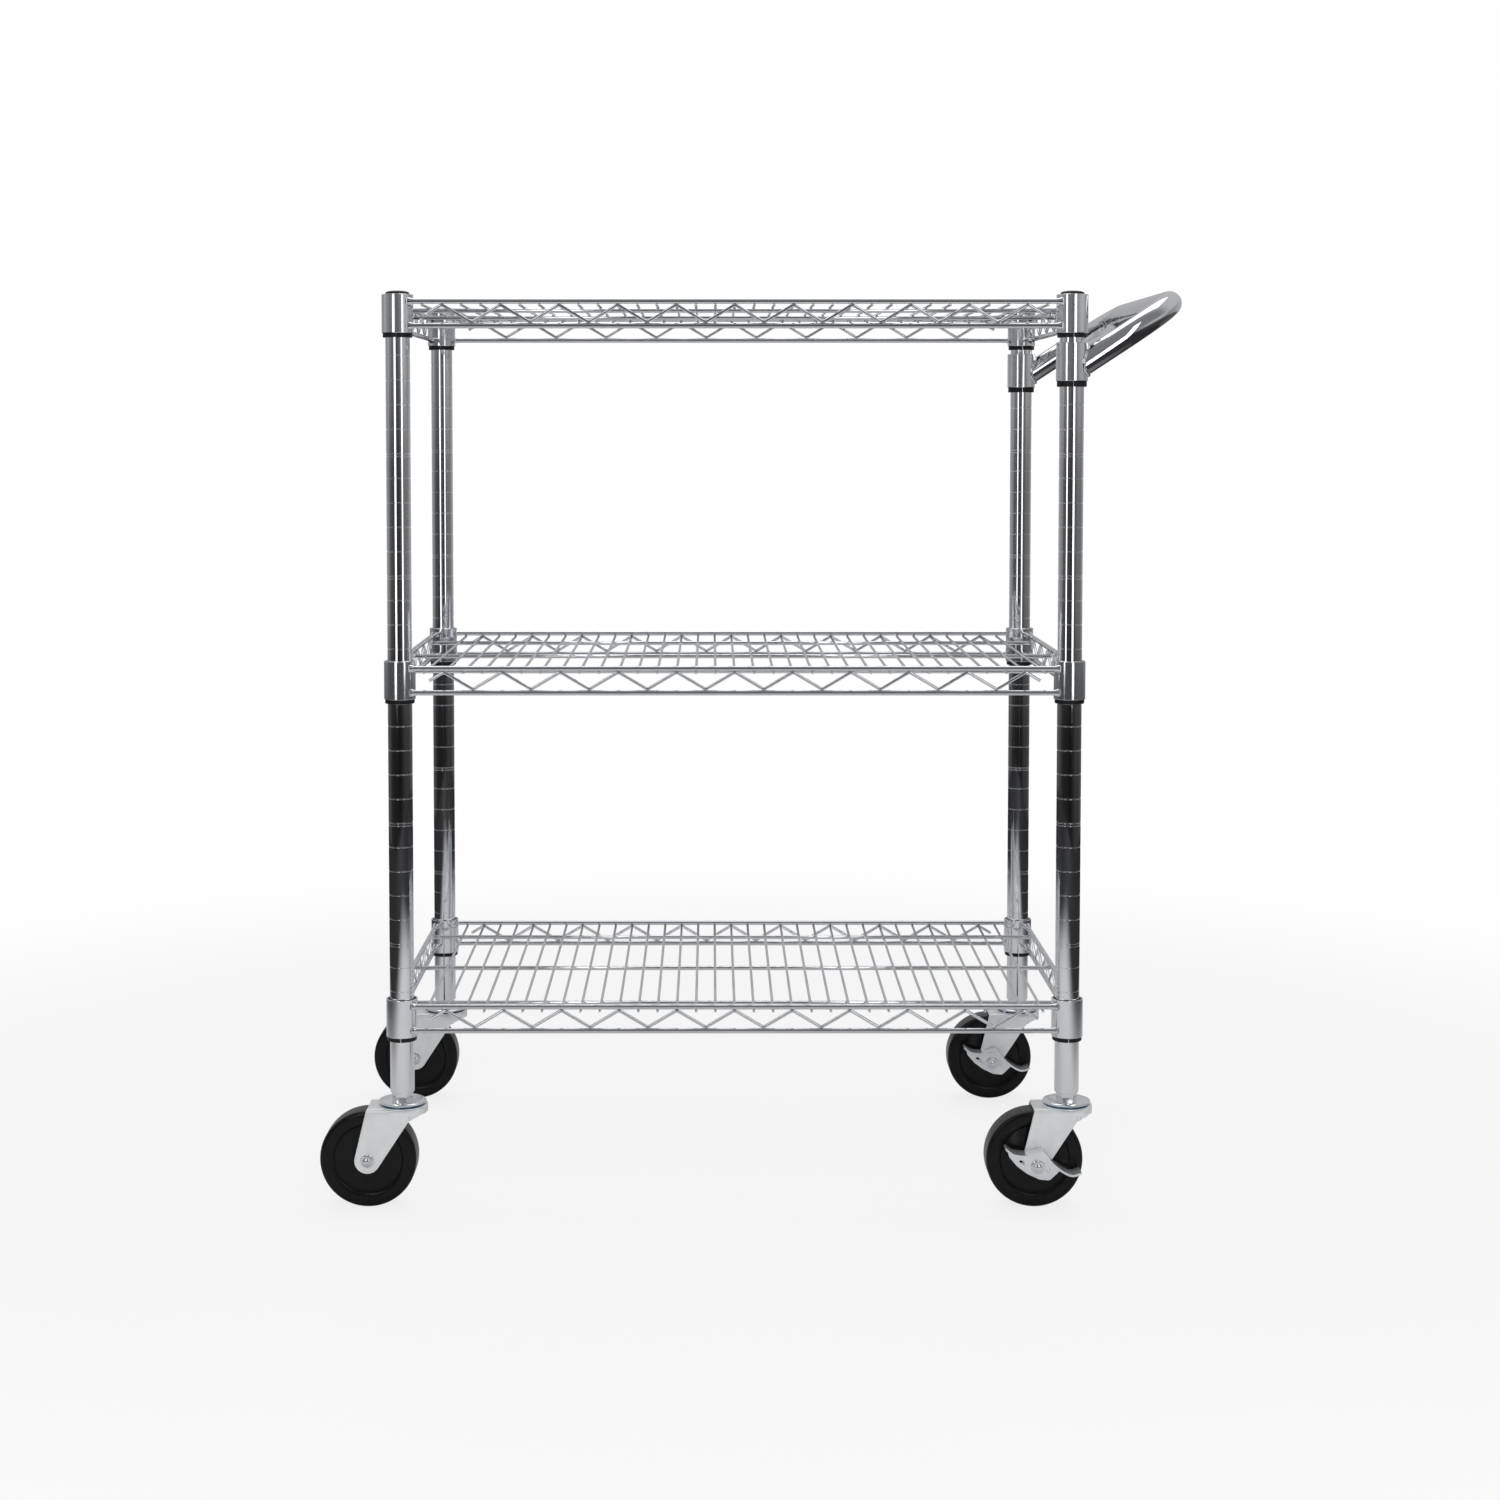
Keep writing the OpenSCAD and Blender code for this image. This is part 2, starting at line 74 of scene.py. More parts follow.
# Wires. The frame's own collars are cones, and the wires end against those
CONE_TOP = 3.3 * MM
CONE_TAPER = 0.75 * MM
RIM_R = 2.75 * MM
RIM_Z = 12.65 * MM
RIM_OUT = 10 * MM
RIM_BITE = 0.9 * MM
RIM_SWELL = ((0, 4.3), (1.2, 4.2), (2.6, 3.7), (4.4, 3.1), (6.5, RIM_R / MM))
CROSS_R = 1.4 * MM
CROSS_PITCH = 20.2 * MM
CROSS_ROOM = POST_R + CONE_TOP + CONE_TAPER + 8 * MM
ZIG_R = 1.7 * MM
ZIG_PITCH = 3 * CROSS_PITCH
ZIG_AMP = 8.25 * MM
ZIG_BEND = 4.6 * MM
ZIG_ROOM = 36 * MM
RIB_R = 2.4 * MM
RIB_Y = 2.75 * ZIG_PITCH + ZIG_R + RIB_R - 0.7 * MM
WELD = 0.15 * MM

# Handle
HANDLE_TILT = math.radians(33.3)
HANDLE_REACH = 134.4 * MM
HANDLE_BEND = 70 * MM
HANDLE_DROP = 9.8 * MM
HANDLE_START = 9 * MM
HANDLE_CONE = (3.05 * MM, 4.55 * MM)

# Casters
SHEET = 2.5 * MM
KINGPIN_R = 8.05 * MM
BUSH_R = 8 * MM
BUSH_HALF = 18.2 * MM
WHEEL_R = 50.8 * MM
WHEEL_HALF = 15.875 * MM
NOSE_X = 14 * MM
NOSE_REACH = 12.6 * MM
LEVER_IN, LEVER_OUT = 18 * MM, 20 * MM
LEVER_PLAY = 0.3 * MM

FLOOR_R = 2.6


def mid(node):
    low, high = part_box(node)
    return (low + high) / 2


def span(node):
    low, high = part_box(node)
    return high - low


# ---------------------------------------------------------------- materials


def new_material(name, colour, metallic, roughness):
    m = bpy.data.materials.new(name)
    m.use_nodes = True
    b = m.node_tree.nodes["Principled BSDF"]
    b.inputs["Base Color"].default_value = (*colour, 1)
    b.inputs["Metallic"].default_value = metallic
    b.inputs["Roughness"].default_value = roughness
    return m, m.node_tree, b


def object_noise(tree, scale, detail=4.0, stretch=(1, 1, 1)):
    coord = tree.nodes.new("ShaderNodeTexCoord")
    place = tree.nodes.new("ShaderNodeMapping")
    place.inputs["Scale"].default_value = stretch
    noise = tree.nodes.new("ShaderNodeTexNoise")
    noise.inputs["Scale"].default_value = scale
    noise.inputs["Detail"].default_value = detail
    tree.links.new(coord.outputs["Object"], place.inputs["Vector"])
    tree.links.new(place.outputs["Vector"], noise.inputs["Vector"])
    return noise.outputs["Fac"]


def ramp(tree, fac, low, high, start=0.3, end=0.7):
    r = tree.nodes.new("ShaderNodeValToRGB")
    r.color_ramp.elements[0].position = start
    r.color_ramp.elements[1].position = end
    r.color_ramp.elements[0].color = (*low, 1)
    r.color_ramp.elements[1].color = (*high, 1)
    tree.links.new(fac, r.inputs["Fac"])
    return r.outputs["Color"]


def vary_roughness(tree, bsdf, fac, low, high):
    r = tree.nodes.new("ShaderNodeMapRange")
    r.inputs["To Min"].default_value = low
    r.inputs["To Max"].default_value = high
    tree.links.new(fac, r.inputs["Value"])
    tree.links.new(r.outputs["Result"], bsdf.inputs["Roughness"])


def add_bump(tree, bsdf, height, strength, distance):
    b = tree.nodes.new("ShaderNodeBump")
    b.inputs["Strength"].default_value = strength
    b.inputs["Distance"].default_value = distance
    tree.links.new(height, b.inputs["Height"])
    tree.links.new(b.outputs["Normal"], bsdf.inputs["Normal"])


def chrome(name, light, dark, low, high, wave, metallic):
    m, t, b = new_material(name, light, metallic, low)
    broad = object_noise(t, scale=9.0, detail=3.0)
    fine = object_noise(t, scale=420.0, detail=5.0)
    t.links.new(ramp(t, broad, dark, light), b.inputs["Base Color"])
    vary_roughness(t, b, fine, low, high)
    add_bump(t, b, object_noise(t, scale=26.0, detail=2.0), wave, 0.4 * MM)
    return m


def zinc(name, light, dark, low, high, metallic):
    m, t, b = new_material(name, light, metallic, low)
    cloud = object_noise(t, scale=70.0, detail=6.0)
    grain = object_noise(t, scale=900.0, detail=3.0, stretch=(1, 1, 6))
    t.links.new(ramp(t, cloud, dark, light, 0.35, 0.65), b.inputs["Base Color"])
    vary_roughness(t, b, cloud, low, high)
    add_bump(t, b, grain, 0.12, 0.12 * MM)
    return m


def moulded(name, light, dark, low, high, grain_scale, bump):
    m, t, b = new_material(name, light, 0.0, low)
    b.inputs["Specular IOR Level"].default_value = 0.25
    cloud = object_noise(t, scale=60.0, detail=4.0)
    grain = object_noise(t, scale=grain_scale, detail=4.0)
    t.links.new(ramp(t, cloud, dark, light), b.inputs["Base Color"])
    vary_roughness(t, b, grain, low, high)
    add_bump(t, b, grain, bump, 0.15 * MM)
    return m


# Each row: light and dark colour, least and greatest roughness, waviness, metallic
CHROMES = {
    "post_chrome": ((0.86, 0.875, 0.89), (0.8, 0.815, 0.835), 0.035, 0.075, 0.05, 1.0),
    "tube_chrome": ((0.87, 0.88, 0.895), (0.8, 0.815, 0.835), 0.04, 0.08, 0.05, 1.0),
    "collar_chrome": ((0.84, 0.855, 0.875), (0.77, 0.79, 0.815), 0.07, 0.12, 0.12, 0.93),
    "wire_chrome": ((0.83, 0.845, 0.865), (0.74, 0.76, 0.79), 0.05, 0.1, 0.08, 1.0),
}
# Each row: light and dark colour, least and greatest roughness, metallic
ZINCS = {
    "zinc": ((0.92, 0.935, 0.94), (0.86, 0.88, 0.892), 0.24, 0.36, 0.45),
    "bright_zinc": ((0.87, 0.89, 0.905), (0.78, 0.81, 0.835), 0.1, 0.18, 0.92),
    "lever_zinc": ((0.9, 0.92, 0.935), (0.83, 0.86, 0.88), 0.16, 0.26, 0.72),
    "plain_steel": ((0.56, 0.57, 0.59), (0.44, 0.45, 0.47), 0.25, 0.4, 1.0),
    # Race ring row: the blue tint is the steel's own, and its darkness is painted shade of the gap
    # between the races
    "dark_steel": ((0.13, 0.25, 0.4), (0.06, 0.13, 0.22), 0.22, 0.36, 1.0),
}
# Each row: light and dark colour, least and greatest roughness, scale and strength of the grain
MOULDED = {
    "black_plastic": ((0.014, 0.014, 0.015), (0.008, 0.008, 0.009), 0.34, 0.5, 700.0, 0.2),
    "wheel_rubber": ((0.0045, 0.0045, 0.0048), (0.003, 0.003, 0.0033), 0.2, 0.3, 500.0, 0.1),
}
MAT = {name: chrome(name, *look) for name, look in CHROMES.items()}
MAT.update({name: zinc(name, *look) for name, look in ZINCS.items()})
MAT.update({name: moulded(name, *look) for name, look in MOULDED.items()})


# ---------------------------------------------------------------- mesh helpers


class Build:
    """Collects closed shapes into one mesh."""

    def __init__(self):
        self.v = []
        self.f = []

    def add(self, verts, faces, matrix=None):
        base = len(self.v)
        self.v.extend([(matrix @ Vector(p)) if matrix else Vector(p) for p in verts])
        self.f.extend([tuple(i + base for i in f) for f in faces])

    def lathe(self, profile, segments, matrix=None, start=0.0, sweep=360.0):
        """Turns a profile of (r, z) about Z. A profile that starts and ends on r 0 closes itself;
        any other is taken as a closed loop. Under a full turn the two cut faces are filled in."""
        full = sweep >= 360.0
        steps = segments if full else segments + 1
        solid = profile[0][0] < TINY and profile[-1][0] < TINY
        verts, faces, ring = [], [], []
        for r, z in profile:
            if r < TINY and full:
                ring.append([len(verts)] * steps)
                verts.append((0, 0, z))
            else:
                row = []
                for i in range(steps):
                    a = math.radians(start + sweep * i / segments)
                    row.append(len(verts))
                    verts.append((r * math.cos(a), r * math.sin(a), z))
                ring.append(row)
        pairs = list(zip(range(len(profile) - 1), range(1, len(profile))))
        if not solid:
            pairs.append((len(profile) - 1, 0))
        for a, b in pairs:
            for i in range(segments):
                j = (i + 1) % steps
                quad = [ring[a][i], ring[a][j], ring[b][j], ring[b][i]]
                clean = [q for k, q in enumerate(quad) if q != quad[k - 1]]
                if len(clean) > 2:
                    faces.append(clean)
        if not full:
            faces.append([row[0] for row in ring])
            faces.append([row[-1] for row in reversed(ring)])
        self.add(verts, faces, matrix)

    def cylinder(self, r, low, high, segments, matrix=None):
        self.lathe([(0, low), (r, low), (r, high), (0, high)], segments, matrix)

    def tube(self, path, radius, sides, matrix=None, closed=False):
        """Sweeps a circle along points. radius may be a number or a list of one per point."""
        path = [Vector(p) for p in path]
        n = len(path)
        radii = radius if isinstance(radius, list) else [radius] * n
        tangents = []
        for i in range(n):
            if closed:
                d = path[(i + 1) % n] - path[i - 1]
            else:
                d = path[min(i + 1, n - 1)] - path[max(i - 1, 0)]
            tangents.append(d.normalized())
        up = Vector((0, 0, 1)) if abs(tangents[0].z) < 0.9 else Vector((1, 0, 0))
        side = tangents[0].cross(up).normalized()
        sides_at = [side]
        for i in range(1, n):
            turn = tangents[i - 1].rotation_difference(tangents[i])
            side = (turn @ side).normalized()
            sides_at.append(side)
        twist = 0.0
        if closed:
            turn = tangents[-1].rotation_difference(tangents[0])
            back = (turn @ side).normalized()
            other = tangents[0].cross(sides_at[0])
            twist = math.atan2(back.dot(other), back.dot(sides_at[0]))
        verts, faces = [], []
        for i in range(n):
            s = sides_at[i]
            t = tangents[i].cross(s)
            off = -twist * i / n
            for k in range(sides):
                a = 2 * math.pi * k / sides + off
                verts.append(path[i] + radii[i] * (math.cos(a) * s + math.sin(a) * t))
        for i in range(n if closed else n - 1):
            j = (i + 1) % n
            for k in range(sides):
                m = (k + 1) % sides
                faces.append((i * sides + k, i * sides + m, j * sides + m, j * sides + k))
        if not closed:
            faces.append(tuple(reversed(range(sides))))
            faces.append(tuple((n - 1) * sides + k for k in range(sides)))
        self.add(verts, faces, matrix)

    def plate(self, outline, low, high, matrix=None):
        """A flat outline of (x, y), filled between two heights."""
        n = len(outline)
        verts = [(x, y, low) for x, y in outline] + [(x, y, high) for x, y in outline]
        faces = [tuple(reversed(range(n))), tuple(range(n, 2 * n))]
        faces += [(i, (i + 1) % n, n + (i + 1) % n, n + i) for i in range(n)]
        self.add(verts, faces, matrix)

    def mesh(self, name, smooth=32.0):
        data = bpy.data.meshes.new(name)
        data.from_pydata([tuple(p) for p in self.v], [], self.f)
        bm = bmesh.new()
        bm.from_mesh(data)
        bmesh.ops.recalc_face_normals(bm, faces=bm.faces)
        bm.to_mesh(data)
        bm.free()
        shade(data, smooth)
        return data


def shade(data, angle):
    """Smooth shading, with edges sharper than the angle kept."""
    bm = bmesh.new()
    bm.from_mesh(data)
    limit = math.radians(angle)
    for f in bm.faces:
        f.smooth = True
    for e in bm.edges:
        sharp = len(e.link_faces) != 2 or e.calc_face_angle(0.0) > limit
        e.smooth = not sharp
    bm.to_mesh(data)
    bm.free()


def piece(name, data, body, slot, nodes, matrix=None, look=None):
    """One visible piece, which takes the place of its CAD nodes. look is its material's name,
    where that isn't the slot's."""
    o = bpy.data.objects.new(name, data)
    bpy.context.scene.collection.objects.link(o)
    if matrix:
        o.data = data.copy()
        o.data.transform(matrix)
    o.data.materials.clear()
    o.data.materials.append(MAT[look or slot])
    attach(o, body)
    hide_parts(*nodes)


def apply_modifier(o, kind, **settings):
    m = o.modifiers.new(kind.lower(), kind)
    for key, value in settings.items():
        setattr(m, key, value)
    bpy.context.view_layer.update()
    graph = bpy.context.evaluated_depsgraph_get()
    data = bpy.data.meshes.new_from_object(o.evaluated_get(graph))
    o.modifiers.clear()
    old = o.data
    o.data = data
    bpy.data.meshes.remove(old)


def temporary(build, name):
    o = bpy.data.objects.new(name, build.mesh(name))
    bpy.context.scene.collection.objects.link(o)
    return o


def drop(o):
    data = o.data
    bpy.data.objects.remove(o)
    if data.users == 0:
        bpy.data.meshes.remove(data)


def arc(cx, cy, r, a0, a1, steps):
    turns = [math.radians(a0 + (a1 - a0) * i / steps) for i in range(steps + 1)]
    return [(cx + r * math.cos(a), cy + r * math.sin(a)) for a in turns]


def fillet(points, radii, steps=6):
    """Rounds the corners of a closed outline."""
    out = []
    n = len(points)
    for i in range(n):
        p, q, s = Vector(points[i - 1]), Vector(points[i]), Vector(points[(i + 1) % n])
        r = radii[i] if isinstance(radii, (list, tuple)) else radii
        if r <= 0:
            out.append(tuple(q))
            continue
        a, b = (p - q), (s - q)
        room = 0.49 * min(a.length, b.length)
        a.normalize()
        b.normalize()
        half = a.angle(b) / 2
        cut = min(r / math.tan(half), room)
        r = cut * math.tan(half)
        centre = q + (a + b).normalized() * (r / math.sin(half))
        u, v = q + a * cut - centre, q + b * cut - centre
        turn = math.atan2(u.x * v.y - u.y * v.x, u.dot(v))
        for k in range(steps + 1):
            t = turn * k / steps
            c, d = math.cos(t), math.sin(t)
            out.append((centre.x + u.x * c - u.y * d, centre.y + u.x * d + u.y * c))
    return out


# ---------------------------------------------------------------- posts, caps


def groove_heights(node):
    """Heights of the grooves of a post tube: the same rule as the tube itself follows."""
    low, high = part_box(node)
    if "upper" in node:
        first, last, pair = high.z - UPPER_START, low.z + UPPER_END, 1
    else:
        first, last, pair = high.z - LOWER_START, mid("bottom_collars").z - LOWER_END, 0
    out = []
    for k in range(int((first - last) / GROOVE_PITCH) + 1):
        z = first - k * GROOVE_PITCH
        out.append(z)
        if k % PAIR_EVERY == pair:
            out.append(z - PAIR_GAP)
    return out


def post_profile(node):
    low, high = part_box(node)
    inner, edge, easing = POST_R - POST_WALL, 0.4 * MM, 0.08 * MM
    groove = ((0, GROOVE_HALF + GROOVE_LIP), (easing, GROOVE_HALF),
              (GROOVE_DEPTH, GROOVE_HALF * 0.7))
    points = [(inner, high.z), (POST_R - edge, high.z), (POST_R, high.z - edge)]
    for z in groove_heights(node):
        points += [(POST_R - deep, z + h) for deep, h in groove]
        points += [(POST_R - deep, z - h) for deep, h in reversed(groove)]
    return points + [(POST_R, low.z), (inner, low.z)]


AXES = {c: mid("post_upper_" + c) for c in CORNERS}


def at_post(c):
    return Matrix.Translation((AXES[c].x, AXES[c].y, 0))


def make_posts():
    for c in CORNERS:
        for part in ("upper", "lower"):
            node = f"post_{part}_{c}"
            b = Build()
            b.lathe(post_profile(node), 72, at_post(c))
            piece(f"tube_{part}_{c}", b.mesh(node, 28), "frame", "post_chrome", [node])


def make_caps():
    low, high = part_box("post_caps")
    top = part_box("post_upper_fl")[1].z
    rim, plug = POST_R - 0.35 * MM, POST_R - 1.6 * MM
    rise, brim, fullness = high.z - top, 0.22, 0.8
    dome = [
        (rim * math.sin(a) ** fullness, top + rise * (brim + (1 - brim) * math.cos(a)))
        for a in (math.radians(10 * k) for k in range(1, 10))
    ]
    profile = [(0, high.z)] + dome + [(rim, top), (plug, top), (plug, low.z), (0, low.z)]
    b = Build()
    for c in CORNERS:
        b.lathe(profile, 48, at_post(c))
    piece("caps", b.mesh("caps", 40), "frame", "black_plastic", ["post_caps"])


# ---------------------------------------------------------------- collars, sleeves


def collar_profile(mid_z, r, height):
    """A straight ring with eased edges, from its lower inside edge outwards and up."""
    low, high = mid_z - height / 2, mid_z + height / 2
    w, e = COLLAR_WALL, COLLAR_EDGE
    return [
        (r - w + e, low), (r - e, low), (r - e * 0.3, low + e * 0.3), (r, low + e),
        (r, high - e), (r - e * 0.3, high - e * 0.3), (r - e, high),
        (r - w + e, high), (r - w, high - e), (r - w, low + e),
    ]


def sleeve_profile(mid_z, r, height, ring):
    """A half sleeve inside a collar of radius r, with the ring that shows below it."""
    low, high = mid_z - height / 2, mid_z + height / 2 - SLEEVE_SHORT
    bore, outer, lip = POST_R + 0.15 * MM, r - COLLAR_WALL, r - 1.0 * MM
    gap, ring_edge, top_edge = 0.05 * MM, 0.6 * MM, 0.4 * MM
    return [
        (bore, low - ring), (lip - ring_edge, low - ring), (lip, low - ring + ring_edge),
        (lip, low - gap), (outer, low - gap), (outer, high - top_edge),
        (outer - top_edge, high), (POST_R + 0.5 * MM, high), (bore, high - top_edge),
    ]


def make_collars():
    sets = [(s, CORNERS, s + "_collars", SHELF_COLLAR) for s in SHELVES]
    sets.append(("handle", BRAKED, "handle_collars", HANDLE_COLLAR))
    for name, corners, node, (stand, ring) in sets:
        z, height, r = mid(node).z, span(node).z, POST_R + stand
        rings, halves = Build(), Build()
        for c in corners:
            rings.lathe(collar_profile(z, r, height), 80, at_post(c))
            for start in (-90 + SLEEVE_GAP, 90 + SLEEVE_GAP):
                profile = sleeve_profile(z, r, height, ring)
                halves.lathe(profile, 36, at_post(c), start, 180 - 2 * SLEEVE_GAP)
        sleeve = "sleeves_" + name
        piece(f"collar_{name}", rings.mesh(node, 20), "frame", "collar_chrome", [node])
        piece(f"sleeve_{name}", halves.mesh(sleeve, 20), "frame", "black_plastic", [sleeve])


# ---------------------------------------------------------------- wire shelves


def zig_points(reach, first):
    """Centre line of a zigzag wire in (x, z): rounded bends, and tails that end at mid height."""
    half = ZIG_PITCH / 2
    n = int(reach / ZIG_PITCH - first + 0.001)
    rise = 2 * (ZIG_AMP - ZIG_BEND)
    lean = math.atan(rise / half) + math.asin(2 * ZIG_BEND / math.hypot(half, rise))
    lean = math.degrees(lean)
    peaks = [(k - first) * ZIG_PITCH for k in range(-n, n + int(2 * first) + 1)]
    line = [(peaks[0] - half / 2, 0.0)]
    for x in peaks:
        line += arc(x, ZIG_AMP - ZIG_BEND, ZIG_BEND, 90 + lean, 90 - lean, 8)
        if x < peaks[-1]:
            line += arc(x + half, ZIG_BEND - ZIG_AMP, ZIG_BEND, 270 - lean, 270 + lean, 8)
    line.append((peaks[-1] + half / 2, 0.0))
    return line


def make_truss(name, node, half_span, first, matrix):
    """The truss lies along X at y 0, its collars towards +Y. Its wires swell at the welds."""
    b = Build()
    for s in (1, -1):
        collar_r = POST_R + CONE_TOP + CONE_TAPER * (0.5 - s * RIM_Z / COLLAR_H)
        half = half_span - math.sqrt(collar_r ** 2 - RIM_OUT ** 2) + RIM_BITE
        ends = [(-half + d * MM, r * MM) for d, r in RIM_SWELL]
        ends += [(-x, r) for x, r in reversed(ends)]
        b.tube([(x, 0, s * RIM_Z) for x, r in ends], [r for x, r in ends], 20, matrix)
    zig = zig_points(half_span - ZIG_ROOM, first)
    b.tube([(x, 0, z) for x, z in zig], ZIG_R, 14, matrix)
    piece(name, b.mesh(node, 50), "frame", "wire_chrome", [node])


def make_deck(shelf, z, half_x, rim_x, rim_y):
    """Cross wires on three lengthways support wires, and the welds of those to the side trusses."""
    b = Build()
    cross_z = z + RIM_Z - RIM_R - CROSS_R + WELD
    rib_z = cross_z - CROSS_R - RIB_R + 2 * WELD
    n = int((half_x - CROSS_ROOM) / CROSS_PITCH)
    last_peak = 3 * int((half_x - ZIG_ROOM) / ZIG_PITCH)
    blunt = 0.35 * MM
    for k in range(-n, n + 1):
        on_peak = k % 3 == 0 and abs(k) <= last_peak
        reach = rim_y - 1.4 * MM if on_peak else rim_y + 3.0 * MM
        ys = [-reach, -reach + blunt, -0.5 * reach, 0, 0.5 * reach, reach - blunt, reach]
        radii = [CROSS_R - blunt] + [CROSS_R] * 5 + [CROSS_R - blunt]
        b.tube([(k * CROSS_PITCH, y, cross_z) for y in ys], radii, 14)
    end, blunt = rim_x + 1 * MM, 0.6 * MM
    top = z + RIM_Z - RIM_R + 0.4 * MM
    for y in (-RIB_Y, 0, RIB_Y):
        xs = [-end, -end + blunt, 0, end - blunt, end]
        b.tube([(x, y, rib_z) for x in xs], [RIB_R - blunt] + [RIB_R] * 3 + [RIB_R - blunt], 18)
        for x in (-rim_x, rim_x):
            zs = [rib_z - 0.5 * MM, rib_z + 1.5 * MM, (rib_z + top) / 2 + 1.2 * MM, top]
            b.tube([(x, y, h) for h in zs], [2.6 * MM, 2.5 * MM, 1.7 * MM, 2.3 * MM], 16)
    node = shelf + "_deck"
    piece(f"{shelf}_wires", b.mesh(node, 50), "frame", "wire_chrome", [node])


def make_shelf(shelf):
    z = mid(shelf + "_collars").z
    half_x, half_y = AXES["fr"].x, AXES["br"].y
    rim_x, rim_y = half_x + RIM_OUT, half_y + RIM_OUT
    for side, degrees, at, half, first in (
        ("front", 0, (0, -rim_y, z), half_x, 0),
        ("back", 180, (0, rim_y, z), half_x, 0),
        ("left", -90, (-rim_x, 0, z), half_y, 0.5),
        ("right", 90, (rim_x, 0, z), half_y, 0.5),
    ):
        place = Matrix.Translation(at) @ Matrix.Rotation(math.radians(degrees), 4, "Z")
        make_truss(f"{shelf}_truss_{side}", f"{shelf}_{side}", half, first, place)
    make_deck(shelf, z, half_x, rim_x, rim_y)


# ---------------------------------------------------------------- handle


def handle_weld(place, post, collar_z):
    """Points and radii of the lumpy weld bead where the tube meets the collar's cone."""
    count, halvings = 72, 40
    r = POST_R + 0.2 * MM
    top_r, low_r = (POST_R + stand for stand in HANDLE_CONE)
    ring, radii = [], []
    for i in range(count):
        a = 2 * math.pi * i / count
        inside, outside = 0.0, 0.06
        for _ in range(halvings):
            u = (inside + outside) / 2
            p = place @ Vector((u, post.y + r * math.cos(a), r * math.sin(a)))
            wall = (low_r + top_r) / 2 - (low_r - top_r) * (p.z - collar_z) / COLLAR_H
            if math.hypot(p.x - post.x, p.y - post.y) < wall:
                inside = u
            else:
                outside = u
        ring.append(p)
        radii.append((1.9 + 0.28 * math.sin(9 * a) + 0.15 * math.sin(23 * a)) * MM)
    return ring, radii


def make_handle():
    node = "handle_tube"
    half_y, collar_z = AXES["br"].y, mid("handle_collars").z
    centre = (AXES["fr"].x, 0, collar_z - HANDLE_DROP)
    place = Matrix.Translation(centre) @ Matrix.Rotation(-HANDLE_TILT, 4, "Y")
    straight, reach, bend = HANDLE_REACH - HANDLE_BEND, HANDLE_REACH, HANDLE_BEND
    line = [(HANDLE_START, -half_y), ((HANDLE_START + straight) / 2, -half_y)]
    line += arc(straight, bend - half_y, bend, -90, 0, 24) + [(reach, 0)]
    line += arc(straight, half_y - bend, bend, 0, 90, 24)
    line += [((HANDLE_START + straight) / 2, half_y), (HANDLE_START, half_y)]
    b = Build()
    b.tube([(x, y, 0) for x, y in line], POST_R, 56, place)
    for c in BRAKED:
        ring, radii = handle_weld(place, AXES[c], collar_z)
        b.tube(ring, radii, 10, closed=True)
    piece("push_handle", b.mesh(node, 40), "frame", "tube_chrome", [node])


# ---------------------------------------------------------------- casters


def hexagon(across, chamfer):
    r = across / math.sqrt(3)
    six = arc(0, 0, r, 0, 300, 5)
    return fillet(six, chamfer, 3)


def section(z, *points):
    """A profile from (radius, height above z) in millimetres."""
    return [(r * MM, z + h * MM) for r, h in points]


def caster_sizes(c):
    """Box of the fork, centre of the wheel."""
    low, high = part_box("fork_" + c)
    return low, high, mid("wheel_" + c)


def make_stems():
    race_low, race_high = (end.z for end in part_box("race_plates"))
    low, high = (end.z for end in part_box("caster_stems"))
    nut_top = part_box("post_lower_fl")[0].z
    stems, races = Build(), Build()
    pin = section(low, (0, 0), (8.8, 0), (10.4, 1), (11, 3), (7.9, 3))
    pin += section(race_high, (7.9, 1), (0, 1))
    race = section(race_low, (8.1, 0), (24.1, 0), (24.8, 0.25), (25, 0.9), (24.85, 1.7),
                   (24.2, 2.3))
    race += section(race_high, (21.5, -0.35), (18, 0), (8.1, 0))
    for c in CORNERS:
        place = at_post(c)
        stems.plate(hexagon(19.6 * MM, 1.2 * MM), race_high, nut_top, place)
        stems.cylinder(POST_R - 0.2 * MM, nut_top, nut_top - 1.1 * MM, 48, place)
        stems.cylinder(6.3 * MM, nut_top - 1 * MM, high, 32, place)
        stems.lathe(pin, 40, place)
        races.lathe(race, 72, place)
    look = "bright_zinc"
    piece("stems", stems.mesh("stems", 35), "frame", "zinc", ["caster_stems"], look=look)
    piece("races", races.mesh("races", 35), "frame", "zinc", ["race_plates"], look=look)


def leg_outline(trail, axle_z, top):
    """Side view of a leg: straight sides down to a round end about the axle."""
    end_r, axle = 13.5 * MM, Vector((-trail, axle_z))
    left, knee = Vector((-trail - 0.6 * MM, top)), Vector((9.4 * MM, top - 11.8 * MM))
    tip, right = Vector((27.5 * MM, top - 4.2 * MM)), Vector((27.5 * MM, top))

    def tangent(p, s):
        d = p - axle
        return math.degrees(math.atan2(d.y, d.x)) + s * math.degrees(math.acos(end_r / d.length))

    lower = arc(axle.x, axle.y, end_r, tangent(left, 1), tangent(knee, -1) + 360, 28)
    corners = [left, Vector(lower[0]), Vector(lower[-1]), knee, tip, right]
    radii = [3 * MM, 0, 0, 12 * MM, 1.2 * MM, 0]
    upper = without([tuple(p) for p in fillet(corners, radii, 8)], (lower[0], lower[-1]), 0.01 * MM)
    before = [p for p in upper if p[0] < -trail * 0.6]
    after = [p for p in upper if p[0] >= -trail * 0.6]
    return before + lower + after


def without(points, ends, reach):
    """Leaves out the points that lie within reach of one of the ends."""
    return [p for p in points if min((Vector(p) - Vector(e)).length for e in ends) > reach]


def boolean(o, operation, build, name):
    other = temporary(build, name)
    apply_modifier(o, "BOOLEAN", operation=operation, object=other, solver="EXACT")
    drop(other)


